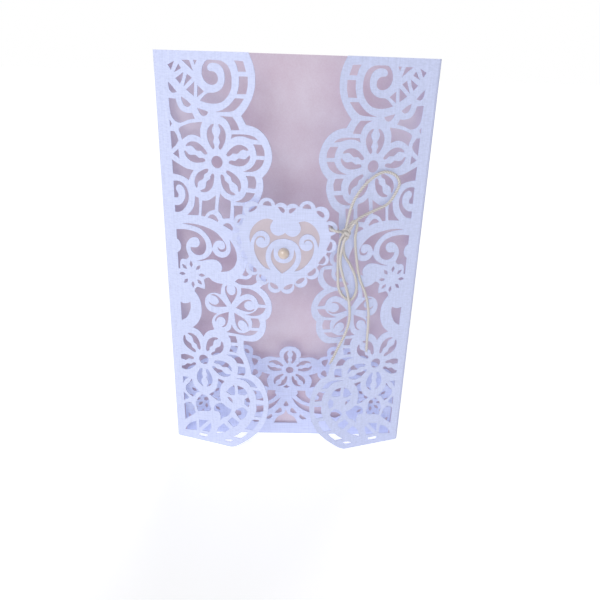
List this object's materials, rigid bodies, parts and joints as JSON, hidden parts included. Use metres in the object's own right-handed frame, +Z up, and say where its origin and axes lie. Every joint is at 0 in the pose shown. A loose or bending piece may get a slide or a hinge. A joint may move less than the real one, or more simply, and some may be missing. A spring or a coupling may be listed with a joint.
{
  "type": "lace invitation card",
  "caption": "Gate-fold invitation card of white linen-embossed card stock with laser-cut lace gates and pocket, an insert card, a lace heart and a twine bow.",
  "frame": {"origin": "on the surface that the card stands on, under the middle of the standing card", "axes": "+Z up along the card's height, -Y towards the front where the gates open, +X to the right as seen from the front"},
  "size_m": [0.127, 0.0251, 0.203],
  "materials": {
    "card_stock": "white card stock with a fine linen emboss",
    "insert_stock": "pale mauve pearlescent card",
    "backing_stock": "champagne pearlescent card",
    "pearl": "cream pearl coating",
    "twine": "soft twisted cotton, cream"
  },
  "bodies": {
    "root": {"wrap": "card_stock", "insert_card": "insert_stock", "heart_lace": "card_stock", "heart_backing": "backing_stock", "half_pearl": "pearl", "twine_knot": "twine", "twine_tie": "twine", "twine_loop_upper": "twine", "twine_loop_lower": "twine", "twine_tail_left": "twine", "twine_tail_right": "twine"}
  },
  "joints": []
}
